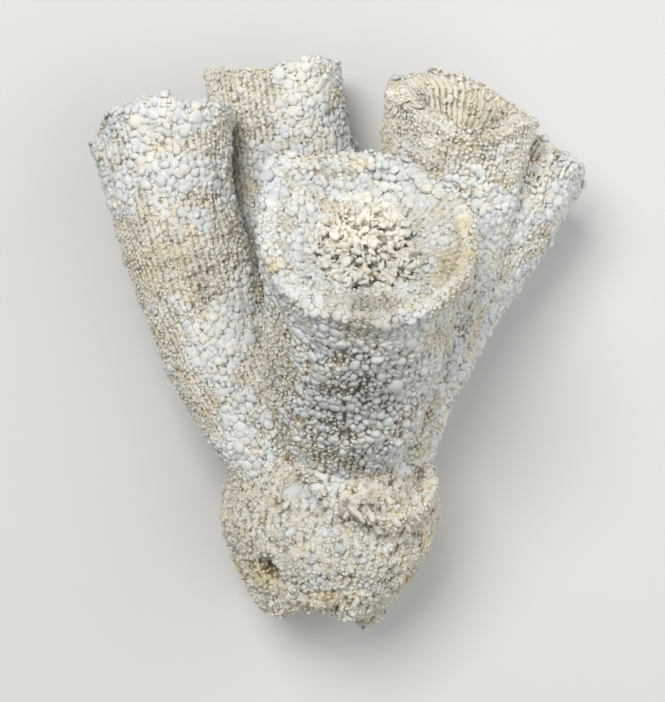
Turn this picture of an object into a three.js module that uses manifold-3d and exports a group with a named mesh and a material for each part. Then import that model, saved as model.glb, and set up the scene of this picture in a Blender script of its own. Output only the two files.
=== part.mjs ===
// A fossil head of branching coral, in millimetres, lying on its back as it rests on a table.
// A short broken stem carries five trumpet-shaped corallites: front, left, right and back ones that part at
// the main fork, and a smaller side one that parts from the right one. +Y runs from the broken end of the stem
// to the mouths, +Z is up, and the origin is on the table under the middle of the head. The head rests on three
// worn flats: one under the stem, one under the back corallite and one under the side corallite.
import * as THREE from "three";
import { mergeVertices } from "three/addons/utils/BufferGeometryUtils.js";
import Module from "manifold-3d";

const wasm = await Module();
wasm.setup();

// ---- driving dimensions ----
const FORK_GAP = 0.3; // parting gap where one piece meets the next
const AROUND = 30; // facets around every piece
const ALONG = 9; // rings along the wall of a corallite
const TABLE_REACH = 200; // half the side of the block that trims the underside flat

// The walls wander from a true circle by a few lobes, each [lobes around, share of the radius].
const LOBES = [
  [2, 0.03],
  [3, 0.025],
  [5, 0.014],
];

// A corallite's axis is one cubic curve: its root, the root's handle, the mouth's handle and the mouth.
// radii are the wall's half widths at even steps from root to mouth; depth is the wall's half height in
// shares of its half width, at the root and at the mouth; cup is how deep the mouth is hollowed; lip is the
// thickness of its rolled rim in shares of the half width; turn sets where the lobes fall. wear is how growth
// and breakage moved single places of the wall: [place, move, how far round it the move fades out].
const CORALLITES = {
  front_corallite: {
    axis: [[1, -34, 24], [3, -12, 45], [7, 13, 62], [8.4, 27.8, 83.5]],
    radii: [17, 20, 22.4, 23.4, 24.2, 26.2],
    depth: [1, 1],
    cup: 14,
    lip: 0.2,
    turn: 0.5,
    wear: [[[-14, 42, 72], [-2.5, 3.5, 0], 16]],
    joins: ["stem"],
  },
  left_corallite: {
    axis: [[-6, -42, 29], [-26, -12, 36], [-40.5, 22, 44], [-44.2, 61.5, 42.5]],
    radii: [12.4, 13.2, 14.8, 16, 16.7, 18.6],
    depth: [1, 0.98],
    cup: 10,
    lip: 0.14,
    turn: 2.1,
    wear: [
      [[-63, 59, 42], [1.5, -6, 0], 17],
      [[-62, 53, 42], [-2.5, 1, 0], 9],
      [[-28, 63, 42], [0, 1.5, 0], 12],
    ],
    joins: ["stem", "front_corallite"],
  },
  right_corallite: {
    axis: [[4, -44, 30], [22, -14, 36], [30, 38, 32], [33.6, 64.8, 47]],
    radii: [12.5, 13.5, 15.5, 17.4, 19, 20.2],
    depth: [1, 0.96],
    cup: 12,
    lip: 0.1,
    turn: 3.9,
    wear: [
      [[54, 67, 38], [-1, -4, 0], 24],
      [[16, 70, 44], [-0.8, 1, 0], 14],
    ],
    joins: ["stem", "front_corallite", "left_corallite"],
  },
  back_corallite: {
    axis: [[1, -44, 26], [-2, -8, 23], [-11.8, 50, 17], [-15.8, 75.6, 18.9]],
    radii: [14, 15.6, 17.2, 18.4, 18.6, 18.2],
    depth: [1, 1.04],
    cup: 10,
    lip: 0.12,
    turn: 1.2,
    wear: [[[-33, 74, 22], [-1, 2.5, 0], 14]],
    joins: ["stem", "front_corallite", "left_corallite", "right_corallite"],
  },
  side_corallite: {
    axis: [[17, -20, 32], [26.5, 2, 30], [41.5, 30, 25], [54.6, 51.6, 21.2]],
    radii: [8, 10, 12, 13.6, 14.6, 15.6],
    depth: [1.2, 1.46],
    cup: 8,
    lip: 0.14,
    turn: 5.2,
    wear: [[[45, 62, 22], [1, 2.5, 0], 16]],
    joins: ["stem", "front_corallite", "right_corallite", "back_corallite"],
  },
};

// The stem is turned about its own axis: [half width, distance from its broken end]. It starts inside the
// hollow of the broken end, swells to an old rim and closes in a dome under the corallites.
const STEM = {
  axis: [[-2.5, -69.2, 21], [-4.4, -58, 22.5], [1.6, -44, 25], [0, -17, 27]],
  outline: [
    [0, 3.2],
    [6, 2.8],
    [10.5, 1.2],
    [14, 0],
    [17, 0.6],
    [19.6, 4.5],
    [21.8, 8.5],
    [26, 15],
    [29, 21],
    [29.6, 27],
    [28.4, 33],
    [26, 38],
    [21, 46],
    [12, 52],
    [0, 54],
  ],
  depth: [1.18, 0.82],
  turn: 4.4,
  wear: [
    [[-8, -70, 22], [-1, 1.5, 0], 14],
    [[10, -70, 20], [2, -5.5, 0], 12],
    [[26, -56, 24], [-2.5, 1, 0], 14],
  ],
};

const COLOURS = {
  stem: 0xbfb8a2,
  front_corallite: 0xd2d4cf,
  left_corallite: 0xccc8ba,
  right_corallite: 0xd0cdc0,
  back_corallite: 0xd3cfc2,
  side_corallite: 0xcfcfc8,
};

// ---- shapes ----
const UP = new THREE.Vector3(0, 0, 1);

function lobesAt(angle, turn) {
  return LOBES.reduce((sum, [n, share]) => sum + share * Math.cos(n * angle + n * turn), 1);
}

// Even radii become a smooth half width at any share of the way along.
function widthAt(radii, share) {
  const curve = new THREE.SplineCurve(radii.map((r, i) => new THREE.Vector2(i, r)));
  return curve.getPoint(share).y;
}

// Moves a point by every wear near it, fading smoothly to nothing at the wear's reach.
function worn(point, wear) {
  for (const [place, move, reach] of wear) {
    const near = 1 - point.distanceTo(new THREE.Vector3(...place)) / reach;
    if (near > 0) point.addScaledVector(new THREE.Vector3(...move), THREE.MathUtils.smoothstep(near, 0, 1));
  }
  return point;
}

// Turns [half width, distance] points about an axis curve, as a lathe does, then bends the result along the
// curve. grow swells the wall outwards, for the copies that cut their neighbours.
function turnAlong(curve, outline, { depth, turn, wear }, grow) {
  const profile = outline.map(([r, s]) => new THREE.Vector2(r, s));
  const geometry = new THREE.LatheGeometry(profile, AROUND);
  geometry.deleteAttribute("normal");
  geometry.deleteAttribute("uv");
  const length = curve.getLength();
  const place = geometry.attributes.position;
  const p = new THREE.Vector3();
  for (let i = 0; i < place.count; i++) {
    p.fromBufferAttribute(place, i);
    const share = THREE.MathUtils.clamp(p.y / length, 0, 1);
    const ahead = curve.getTangentAt(share);
    const side = new THREE.Vector3().crossVectors(ahead, UP).normalize();
    const over = new THREE.Vector3().crossVectors(side, ahead);
    const angle = Math.atan2(p.z, p.x);
    const reach = Math.hypot(p.x, p.z);
    const width = reach > 0 ? reach * lobesAt(angle, turn) + grow : 0;
    const spot = curve
      .getPointAt(share)
      .addScaledVector(side, width * Math.cos(angle))
      .addScaledVector(over, width * Math.sin(angle) * THREE.MathUtils.lerp(...depth, share))
      .addScaledVector(ahead, p.y - share * length);
    place.setXYZ(i, ...worn(spot, wear));
  }
  return geometry;
}

// The wall of a corallite from its root to its rolled rim, then down into the hollow of the cup.
function coralliteOutline({ radii, cup, lip }, length) {
  const outer = [[0, 0]];
  for (let i = 0; i <= ALONG; i++) {
    const share = (i / ALONG) * (1 - lip / 2);
    outer.push([widthAt(radii, share), share * length]);
  }
  const mouth = radii[radii.length - 1];
  const crest = [
    [mouth * (1 - lip * 0.3), length - 0.3],
    [mouth * (1 - lip * 0.8), length],
    [mouth * (1 - lip * 1.5), length - cup * 0.1],
  ];
  const hollow = [
    [mouth * 0.6, length - cup * 0.42],
    [mouth * 0.42, length - cup * 0.75],
    [mouth * 0.24, length - cup * 0.96],
    [0, length - cup],
  ];
  return [...outer, ...crest, ...hollow];
}

// ---- solids ----
function solidOf(geometry) {
  const merged = mergeVertices(geometry, 1e-3);
  const index = merged.index.array;
  const faces = [];
  for (let i = 0; i < index.length; i += 3) {
    const [a, b, c] = [index[i], index[i + 1], index[i + 2]];
    if (a !== b && b !== c && a !== c) faces.push(a, b, c);
  }
  const vertProperties = new Float32Array(merged.attributes.position.array);
  const triVerts = new Uint32Array(faces);
  return new wasm.Manifold(new wasm.Mesh({ numProp: 3, vertProperties, triVerts }));
}

// A piece whole, as it grew. With grow it is the cutter that trims its neighbours: swelled, with no cup.
function pieceOf(name, grow) {
  const shape = name === "stem" ? STEM : CORALLITES[name];
  const curve = new THREE.CubicBezierCurve3(...shape.axis.map((p) => new THREE.Vector3(...p)));
  const outline = shape.outline ?? coralliteOutline(shape, curve.getLength());
  if (grow > 0 && shape.cup) outline.splice(-4, 4, [0, curve.getLength()]);
  return solidOf(turnAlong(curve, outline, shape, grow));
}

// Everything below the table is worn away, which leaves the flats that the head rests on.
function belowTable() {
  const block = new THREE.BoxGeometry(2 * TABLE_REACH, 2 * TABLE_REACH, 2 * TABLE_REACH);
  block.deleteAttribute("normal");
  block.deleteAttribute("uv");
  return solidOf(block.translate(0, 0, -TABLE_REACH));
}

function largest(solid) {
  return solid.decompose().sort((a, b) => b.volume() - a.volume())[0];
}

function meshOf(name, solid) {
  const { vertProperties, triVerts } = solid.getMesh();
  const geometry = new THREE.BufferGeometry()
    .setAttribute("position", new THREE.BufferAttribute(vertProperties, 3))
    .setIndex(new THREE.BufferAttribute(triVerts, 1));
  const material = new THREE.MeshStandardMaterial({
    color: COLOURS[name],
    roughness: 0.92,
    metalness: 0,
    flatShading: true,
  });
  const mesh = new THREE.Mesh(geometry, material);
  mesh.name = name;
  return mesh;
}

// ---- assembly ----
const table = belowTable();
const head = new THREE.Group();
head.add(meshOf("stem", pieceOf("stem", 0).subtract(table)));
for (const [name, shape] of Object.entries(CORALLITES)) {
  let solid = pieceOf(name, 0).subtract(table);
  for (const neighbour of shape.joins) solid = solid.subtract(pieceOf(neighbour, FORK_GAP));
  head.add(meshOf(name, largest(solid)));
}

const box = new THREE.Box3().setFromObject(head);
const middle = box.getCenter(new THREE.Vector3());
head.position.set(-middle.x, -middle.y, -box.min.z);

export default head;
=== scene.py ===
# %% [markdown]
# # A fossil head of branching coral
#
# A coral polyp builds a stony tube, the corallite, and lives in the cup at its end. This head grew from
# one short stem into five such tubes. Their walls carry ribs, their cups carry thin radial plates, the
# septa, and after the coral died a mineral crust of small round knobs grew over most of it.
#
# The lesson builds each tube as a turned and bent form, raises its ribs, and then strews it with knobs.
# The frame gives the six solids of the head. They are measured here, and then replaced.

# %% Load the frame
import math

import bpy
import numpy as np
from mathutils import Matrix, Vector
from mathutils.bvhtree import BVHTree


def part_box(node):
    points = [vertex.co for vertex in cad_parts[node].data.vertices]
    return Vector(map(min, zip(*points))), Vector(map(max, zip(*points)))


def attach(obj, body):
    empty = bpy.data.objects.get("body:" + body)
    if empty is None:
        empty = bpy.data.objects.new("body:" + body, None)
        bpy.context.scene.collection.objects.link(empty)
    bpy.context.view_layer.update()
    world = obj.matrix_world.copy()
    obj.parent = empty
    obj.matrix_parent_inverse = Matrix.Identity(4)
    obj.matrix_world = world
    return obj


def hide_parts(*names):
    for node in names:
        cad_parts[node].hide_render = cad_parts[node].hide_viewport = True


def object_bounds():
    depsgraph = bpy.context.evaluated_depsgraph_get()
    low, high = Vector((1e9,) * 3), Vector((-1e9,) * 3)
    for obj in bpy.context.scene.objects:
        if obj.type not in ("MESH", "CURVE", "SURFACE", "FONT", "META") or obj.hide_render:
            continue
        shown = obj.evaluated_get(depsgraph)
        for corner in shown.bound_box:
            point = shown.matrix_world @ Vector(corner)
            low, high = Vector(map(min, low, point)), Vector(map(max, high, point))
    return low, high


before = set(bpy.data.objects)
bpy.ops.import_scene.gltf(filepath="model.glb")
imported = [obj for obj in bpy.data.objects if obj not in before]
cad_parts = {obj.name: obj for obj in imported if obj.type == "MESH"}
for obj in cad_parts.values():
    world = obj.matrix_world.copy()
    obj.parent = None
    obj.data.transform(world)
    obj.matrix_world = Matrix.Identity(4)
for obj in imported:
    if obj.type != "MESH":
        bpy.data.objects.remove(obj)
cad_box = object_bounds()
head_low, head_high = cad_box
print("head", [round(v * 1000, 1) for v in head_high - head_low], "mm")

# %% [markdown]
# ## Where things are
#
# All sizes are written in millimetres and turned into metres by one factor. The growth axes are drawn
# from a point at the foot of the front corallite, and the frame's origin is under the middle of the head,
# so one small shift takes the first to the second.

# %% Units and the shared shift
MM = 0.001
GROWTH_ORIGIN = Vector((-2.57, -2.98, 0))
TABLE = 0.0


def place(point):
    """A place drawn in the growth frame, in millimetres, as a place in the model's frame, in metres."""
    return (Vector(point) + GROWTH_ORIGIN) * MM


def in_mm(vector):
    """A vector in millimetres, rounded for printing."""
    return [round(value / MM, 1) for value in vector]


print("growth origin at", in_mm(place((0, 0, 0))))

# %% [markdown]
# ## Camera, table and light
#
# The head lies on its back and is looked at from straight above. A camera looks down its own -Z axis, so
# hung over the head it needs no rotation at all. A big soft lamp on the upper left models the knobs, two
# weaker ones opposite keep the shadows readable, and a plain pale table lies under it all. Area lamps were
# chosen because their size alone decides how soft a shadow is.

# %% Camera
CAMERA_HEIGHT = 0.48
LENS = 87.8

bpy.ops.object.camera_add(location=place((0, 0, 0)) + Vector((0, 0, CAMERA_HEIGHT)), rotation=(0, 0, 0))
camera = bpy.context.object
camera.name = "overhead_camera"
camera.data.lens = LENS
camera.data.clip_start = 0.01
bpy.context.scene.camera = camera
bpy.context.scene.view_settings.view_transform = "Standard"
print("camera", [round(v, 3) for v in camera.location])


# %% Lamps
AIM = Vector((0, 0, 0.04))


def soft_lamp(name, location, size, power, colour):
    """A square area lamp that faces the middle of the head."""
    bpy.ops.object.light_add(type="AREA", location=location)
    lamp = bpy.context.object
    lamp.name = name
    lamp.data.size = size
    lamp.data.energy = power
    lamp.data.color = colour
    lamp.rotation_euler = (AIM - Vector(location)).to_track_quat("-Z", "Y").to_euler()
    print(name, power, "W")


soft_lamp("key_lamp", (-0.22, 0.32, 0.8), 0.4, 6.5, (1.0, 0.99, 0.97))
soft_lamp("fill_lamp", (0.45, -0.3, 0.75), 0.7, 2.7, (1.0, 1.0, 1.0))
soft_lamp("side_lamp", (0.62, 0.2, 0.42), 0.5, 1.5, (1.0, 1.0, 1.0))

# %% Light from all around
ROOM_LIGHT = 0.26
world = bpy.data.worlds.new("studio")
bpy.context.scene.world = world
world.use_nodes = True
backdrop = world.node_tree.nodes["Background"]
backdrop.inputs["Color"].default_value = (1.0, 1.0, 1.0, 1)
backdrop.inputs["Strength"].default_value = ROOM_LIGHT
print("room light", ROOM_LIGHT)

# %% Table top
pale_table = bpy.data.materials.new("pale_table")
pale_table.use_nodes = True
shader = pale_table.node_tree.nodes["Principled BSDF"]
shader.inputs["Base Color"].default_value = (0.6, 0.6, 0.59, 1)
shader.inputs["Roughness"].default_value = 0.7
bpy.ops.mesh.primitive_plane_add(size=6, location=(0, 0, TABLE))
table_top = bpy.context.object
table_top.name = "table_top"
table_top.data.materials.append(pale_table)
print("table top at", TABLE)

# %% [markdown]
# ## The shape of each corallite
#
# A corallite grew by a simple rule, so it is written down rather than sculpted. Its axis is one cubic
# curve with two ends and two handles. The widths are half widths of the wall at even steps along it, and
# depth tells how much taller than wide the tube is at its root and at its mouth. The lip is how broad the
# rolled rim is, the cup how deep the mouth goes. Ribs are counted round the wall, and rib and septum are
# their heights. Wear moves single places: where, by how much, and how far round it the move reaches.

# %% Corallites in millimetres
FUNNEL = [(0.88, 0.3), (0.7, 0.6), (0.5, 0.82), (0.25, 0.97), (0.04, 1)]
CORALLITES = {
    "front_corallite": {
        "axis": [(1, -34, 24), (3, -12, 45), (7, 13, 62), (8.4, 27.8, 83.5)],
        "widths": (12, 17.5, 21.8, 23.4, 24.4, 26.4),
        "depth": (1, 1),
        "lip": 4,
        "cup": 13,
        "bowl": [(0.86, 0.2), (0.72, 0.36), (0.6, 0.5), (0.53, 0.75), (0.42, 0.95), (0.2, 1)],
        "ribs": 70,
        "rib": 0.45,
        "septum": 0.6,
        "wear": [
            ((-14, 42, 72), (-2.5, 3.5, 0), 16), ((-13, 44, 74), (-1, 1.2, 0), 6),
            ((33, 36, 80), (1, 1, 0), 7), ((24, 46, 72), (-0.6, -1.2, 0), 7),
            ((-6, 8, 95), (0.4, -1, 0.4), 6), ((2, 50, 70), (0, 1, 0), 5),
        ],
    },
    "left_corallite": {
        "axis": [(-6, -42, 29), (-26, -12, 36), (-40.5, 22, 44), (-44.2, 61.5, 42.5)],
        "widths": (12.4, 13.2, 14.8, 16, 16.7, 18.8),
        "depth": (1, 0.98),
        "lip": 5,
        "cup": 11,
        "bowl": FUNNEL,
        "ribs": 58,
        "rib": 0.5,
        "septum": 1.0,
        "wear": [
            ((-63, 59, 42), (2.5, -6.5, 0), 17), ((-62, 53, 42), (-2, 1, 0), 9),
            ((-28, 63, 42), (0, 1.0, 0), 12), ((-41, 62, 58), (0, 2, 0), 4),
            ((-47, 62, 57), (0, 1.6, 0), 4), ((-36, 62, 57), (0, -1.6, 0), 4),
            ((-56, 60, 52), (0.5, -1.5, 0), 4),
        ],
    },
    "right_corallite": {
        "axis": [(4, -44, 30), (22, -14, 36), (30, 38, 32), (33.6, 64.8, 47)],
        "widths": (12.5, 13.5, 15.5, 17.4, 19, 20.2),
        "depth": (1, 0.96),
        "lip": 5.4,
        "cup": 14,
        "bowl": FUNNEL,
        "cup_shift": (-1.0, 0.2),
        "ribs": 84,
        "rib": 0.4,
        "septum": 1.5,
        "minor": 0.2,
        "wear": [
            ((54, 67, 38), (-1, -4, 0), 24), ((16, 70, 44), (-0.8, 1, 0), 14),
            ((36, 55, 64), (0, -4, -1), 14),
        ],
    },
    "back_corallite": {
        "axis": [(1, -44, 26), (-2, -8, 23), (-11.8, 50, 17), (-15.8, 75.6, 18.9)],
        "widths": (14, 15.6, 17.2, 18.4, 18.8, 18.4),
        "depth": (1, 1.04),
        "lip": 4,
        "cup": 11,
        "bowl": FUNNEL,
        "ribs": 64,
        "rib": 0.5,
        "septum": 1.2,
        "wear": [((-33, 74, 22), (-1, 2.5, 0), 14)],
    },
    "side_corallite": {
        "axis": [(17, -20, 32), (26.5, 2, 30), (41.5, 30, 25), (54.6, 51.6, 21.2)],
        "widths": (8, 10, 12, 13.6, 14.8, 15.8),
        "depth": (1.2, 1.46),
        "lip": 4,
        "cup": 9,
        "bowl": FUNNEL,
        "ribs": 60,
        "rib": 0.4,
        "septum": 0.8,
        "wear": [((45, 62, 22), (1, 2.5, 0), 16), ((60, 57, 26), (0.5, 3.5, 0), 13)],
    },
}

# %% The stem in millimetres
STEM = {
    "rough": 1.7,
    "axis": [(-2.5, -69.2, 21), (-4.4, -58, 22.5), (1.6, -44, 25), (0, -17, 27)],
    "outline": [
        (0, 2.8), (3, 2.7), (6, 2.4), (10.5, 1.2), (14, 0), (17, 0.6), (19.6, 4.5), (21.8, 8.5),
        (26, 15), (29, 21), (29.4, 27), (28.6, 33), (27, 39), (24, 47), (19, 56), (10, 62), (4, 63),
    ],
    "depth": (1.18, 0.82),
    "ribs": 76,
    "rib": 0.5,
    "septum": 0.5,
    "wear": [
        ((-8, -70, 22), (-1, 1.5, 0), 14), ((10, -70, 16), (0, -3.5, 0), 13),
        ((-8, -76, 24), (0, 5, 0), 15), ((-5, -73, 37), (0, 5.5, -0.5), 13),
        ((9, -74, 18), (0, -3.5, 0), 11), ((0, -76, 22), (-0.5, 2.5, 0), 4),
        ((26, -56, 24), (-2.5, 1, 0), 14), ((-18, -58, 48), (1, 1.5, -6), 5),
    ],
}

# %% Values shared by all walls
CRUST = 1.2  # the knobs stand this far out of the wall, so the bare wall is turned this much thinner
RING_STEP = 0.58  # distance between rings of the turned walls
RIB_FACETS = 4  # vertices across one rib: a groove, a flank, a crest and a flank
print(len(CORALLITES), "corallites,", sum(shape["ribs"] for shape in CORALLITES.values()), "ribs")

# %% [markdown]
# ## Turning a wall
#
# A cone with a bevelled rim would be quick, but stiff. Here the outline of half a tube is drawn by
# extruding a single vertex along it, and the Screw modifier turns it into a closed form, as a lathe would.
# So trumpet, rolled lip and funnel are all decided by one line.


# %% Selecting in code
def pick(piece):
    """Makes one object the only selected and active one."""
    bpy.ops.object.select_all(action="DESELECT")
    piece.select_set(True)
    bpy.context.view_layer.objects.active = piece


def enter(mode):
    """Goes to edit mode or back to object mode."""
    bpy.ops.object.mode_set(mode=mode)


def select_points(piece, chosen):
    """Selects the vertices for which chosen is true, and leaves the piece in edit mode."""
    pick(piece)
    enter("EDIT")
    bpy.ops.mesh.select_mode(type="VERT")
    bpy.ops.mesh.select_all(action="DESELECT")
    enter("OBJECT")
    piece.data.vertices.foreach_set("select", np.asarray(chosen, dtype=bool))
    enter("EDIT")


def rows_of(collection, what):
    """A vector of each item, as an array of rows."""
    flat = np.empty(len(collection) * 3)
    collection.foreach_get(what, flat)
    return flat.reshape(-1, 3)


def points_of(piece):
    """The places of the piece's vertices."""
    return rows_of(piece.data.vertices, "co")


# %% A smooth line through a few points
def even_steps(points, step):
    """A smooth line through the points, with a point every step along it."""
    knots = np.array([points[0], *points, points[-1]], dtype=float)
    fine = []
    for a, b, c, d in zip(knots, knots[1:], knots[2:], knots[3:]):
        for t in np.linspace(0, 1, 24, endpoint=False):
            bend = (2 * a - 5 * b + 4 * c - d) * t**2 + (3 * b - a - 3 * c + d) * t**3
            fine.append(0.5 * (2 * b + (c - a) * t + bend))
    fine = np.array([*fine, knots[-1]])
    run = np.concatenate([[0], np.cumsum(np.linalg.norm(np.diff(fine, axis=0), axis=1))])
    at = np.linspace(0, run[-1], max(2, round(run[-1] / step)))
    return [(np.interp(s, run, fine[:, 0]), np.interp(s, run, fine[:, 1])) for s in at]


# %% The outline of a trumpet
LIP_RISE = 0.38  # how high the rolled lip stands, as a share of its breadth


def trumpet_outline(shape, length):
    """Half a corallite: the wall, the rolled lip and the funnel. Also how many points lie outside."""
    widths = [w - CRUST for w in shape["widths"]]
    lip, mouth = shape["lip"], widths[-1]
    rise = lip * LIP_RISE
    length = length - CRUST
    shoulder, floor = length - rise, length - shape["cup"]
    wall = [(w, shoulder * i / (len(widths) - 1)) for i, w in enumerate(widths)]
    crest = []
    for quarter in (1, 2, 3, 4):
        a = quarter * math.pi / 4
        crest.append((mouth - lip * (0.5 - 0.5 * math.cos(a)), shoulder + rise * math.sin(a)))
    inner = mouth - lip
    funnel = [(inner * wide, shoulder - (shoulder - floor) * deep) for wide, deep in shape["bowl"]]
    outside = even_steps(wall + crest[:2], RING_STEP)
    inside = even_steps([crest[1], *crest[2:], *funnel], RING_STEP)[1:]
    return [(0, 0), *outside, *inside, (0, floor)], len(outside) + 1


# %% Drawing the outline
def drawn(name, outline):
    """One vertex at the outline's first point, extruded step by step along the rest of it."""
    bpy.ops.object.select_all(action="DESELECT")
    bpy.ops.mesh.primitive_plane_add(size=MM, location=(outline[0][0] * MM, 0, outline[0][1] * MM))
    piece = bpy.context.object
    piece.name = name
    bpy.ops.object.transform_apply(location=True)
    enter("EDIT")
    bpy.ops.mesh.select_all(action="SELECT")
    bpy.ops.mesh.merge(type="CENTER")
    for (r0, z0), (r1, z1) in zip(outline, outline[1:]):
        step = ((r1 - r0) * MM, 0, (z1 - z0) * MM)
        bpy.ops.mesh.extrude_region_move(TRANSFORM_OT_translate={"value": step})
    enter("OBJECT")
    return piece


# %% Values kept on vertices
def read_kept(piece, name):
    """The value that each vertex keeps under a name."""
    values = np.empty(len(piece.data.vertices), dtype=np.float32)
    piece.data.attributes[name].data.foreach_get("value", values)
    return values


def keep(piece, name, values):
    """Keeps one value on each vertex under a name."""
    layer = piece.data.attributes.get(name) or piece.data.attributes.new(name, "FLOAT", "POINT")
    layer.data.foreach_set("value", np.asarray(values, dtype=np.float32))


# %% Turning it
def turned(name, outline, facets):
    """A closed form turned from an outline about Z. Its station attribute numbers the outline's points."""
    piece = drawn(name, outline)
    keep(piece, "station", np.arange(len(outline)))
    lathe = piece.modifiers.new("Lathe", "SCREW")
    lathe.steps = lathe.render_steps = facets
    lathe.use_merge_vertices = True
    lathe.merge_threshold = 1e-6
    bpy.ops.object.modifier_apply(modifier=lathe.name)
    enter("EDIT")
    bpy.ops.mesh.select_all(action="SELECT")
    bpy.ops.mesh.normals_make_consistent(inside=False)
    enter("OBJECT")
    return piece

# %% [markdown]
# ## Ribs, bending and wear
#
# A rib is four columns of vertices, so every fourth column is a crest. Shrink/Fatten moves a selection
# along its own normals, which raises the crests outside and the septa inside with the same operator. Every
# second septum is lower, as in the living coral. The straight tube is then bent along its axis by a Curve
# modifier. Worn and broken places are moved one by one with proportional editing, and whatever would sink
# into the table is pressed flat on it.


# %% Raising ribs
AXIS_CLEAR = 5  # no rib is raised nearer to the axis than this
RIB_PASSES = ((0.45, (0, 1, 3)), (0.55, (0,)))  # first the crest with both flanks, then the crest alone


def raise_ribs(piece, facets, outside, shape):
    """Lifts the ribs' crests on the wall and the septa in the cup. Returns each vertex's column."""
    points = points_of(piece)
    station = read_kept(piece, "station")
    turn = np.round(np.arctan2(points[:, 1], points[:, 0]) / (math.tau / facets)).astype(int) % facets
    column, minor = turn % RIB_FACETS, (turn + 1) // RIB_FACETS % 2 == 1
    off_axis = np.hypot(points[:, 0], points[:, 1]) > AXIS_CLEAR * MM
    wall, cup = (station < outside) & off_axis, (station >= outside) & off_axis
    small = shape["septum"] * shape.get("minor", 0.7)
    for height, where in ((shape["rib"], wall), (shape["septum"], cup & ~minor), (small, cup & minor)):
        for share, columns in RIB_PASSES:
            select_points(piece, where & np.isin(column, columns))
            bpy.ops.transform.shrink_fatten(value=height * share * MM)
            enter("OBJECT")
    return column

# %% Bending along the axis
def bent(piece, axis):
    """Bends a piece that stands along Z so that it follows the axis curve."""
    root, root_handle, mouth_handle, mouth = (place(p) for p in axis)
    bpy.ops.curve.primitive_bezier_curve_add(location=(0, 0, 0))
    guide = bpy.context.object
    guide.data.dimensions = "3D"
    guide.data.twist_mode = "Z_UP"
    guide.data.splines[0].resolution_u = 64
    start, end = guide.data.splines[0].bezier_points
    for knot in (start, end):
        knot.handle_left_type = knot.handle_right_type = "FREE"
    start.co, start.handle_right, start.handle_left = root, root_handle, 2 * root - root_handle
    end.co, end.handle_left, end.handle_right = mouth, mouth_handle, 2 * mouth - mouth_handle
    pick(piece)
    bend = piece.modifiers.new("Bend", "CURVE")
    bend.object = guide
    bend.deform_axis = "POS_Z"
    bpy.ops.object.modifier_apply(modifier=bend.name)
    bpy.data.objects.remove(guide)


def axis_length(axis):
    """The length of the axis curve, in millimetres."""
    a, b, c, d = (np.array(place(p)) for p in axis)
    t = np.linspace(0, 1, 160)[:, None]
    line = a * (1 - t) ** 3 + 3 * b * t * (1 - t) ** 2 + 3 * c * t**2 * (1 - t) + d * t**3
    return np.linalg.norm(np.diff(line, axis=0), axis=1).sum() / MM


# %% Worn places
def wear_down(piece, wear):
    """Grabs the vertex nearest each worn place and moves it, with its surroundings following softly."""
    for where, move, reach in wear:
        gap = np.linalg.norm(points_of(piece) - np.array(place(where)), axis=1)
        select_points(piece, np.arange(len(gap)) == gap.argmin())
        bpy.ops.transform.translate(
            value=Vector(move) * MM,
            use_proportional_edit=True,
            proportional_edit_falloff="SMOOTH",
            proportional_size=reach * MM,
        )
        enter("OBJECT")


def press_on_table(piece):
    """Flattens whatever is below the table onto it."""
    select_points(piece, points_of(piece)[:, 2] < TABLE)
    if any(v.select for v in piece.data.vertices):
        bpy.ops.transform.resize(value=(1, 1, 0), center_override=(0, 0, TABLE))
    enter("OBJECT")


# %% [markdown]
# ## Unevenness
#
# No coral wall is as even as a turned one. Instead of sculpting seven walls, the Displace modifier moves
# each surface in and out by noise, four times, from broad swellings down to a grain.


# %% Lumps from noise
def lump(piece, name, size, strength, basis="BLENDER_ORIGINAL", depth=2):
    """Moves the surface in and out by a cloudy noise of the given size, in millimetres."""
    texture = bpy.data.textures.new(name, "CLOUDS")
    texture.noise_scale = size * MM
    texture.noise_basis = basis
    texture.noise_depth = depth
    displace = piece.modifiers.new(name, "DISPLACE")
    displace.texture = texture
    displace.texture_coords = "LOCAL"
    displace.mid_level = 0.5
    displace.strength = strength * MM
    pick(piece)
    bpy.ops.object.modifier_apply(modifier=name)


def roughen(piece, rough):
    """Broad swellings, thumb-sized unevenness, small rounded bumps and a grain, from large to small."""
    lump(piece, "swelling", 17, 2.4, depth=1)
    lump(piece, "unevenness", 5, 1.3 * rough, depth=2)
    lump(piece, "bumps", 2.2, -1.1 * rough, basis="VORONOI_F1", depth=1)
    lump(piece, "grain", 0.9, 0.6, depth=2)


# %% Two changes to the straight tube
def shift_cup(piece, outside, move):
    """Slides the cup sideways, so that its rim is broad on one side and narrow on the other."""
    station = read_kept(piece, "station")
    last = station.max()
    for share in (0.4, 0.3, 0.3):
        start = outside + (last - outside) * 0.12 * (1 - share)
        select_points(piece, station > start)
        bpy.ops.transform.translate(value=(move[0] * share * MM, move[1] * share * MM, 0))
        enter("OBJECT")


def set_depth(piece, depth, length):
    """Makes the straight tube taller than wide, changing evenly from root to mouth."""
    points = points_of(piece)
    share = np.clip(points[:, 2] / (length * MM), 0, 1)
    points[:, 1] *= depth[0] + (depth[1] - depth[0]) * share
    piece.data.vertices.foreach_set("co", points.ravel())
    piece.data.update()


# %% [markdown]
# ## Growing the walls
#
# All these steps now run for each corallite. Ribs and cup are made while the tube is straight, where
# outwards and along are plain directions. Bending comes after.


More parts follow.
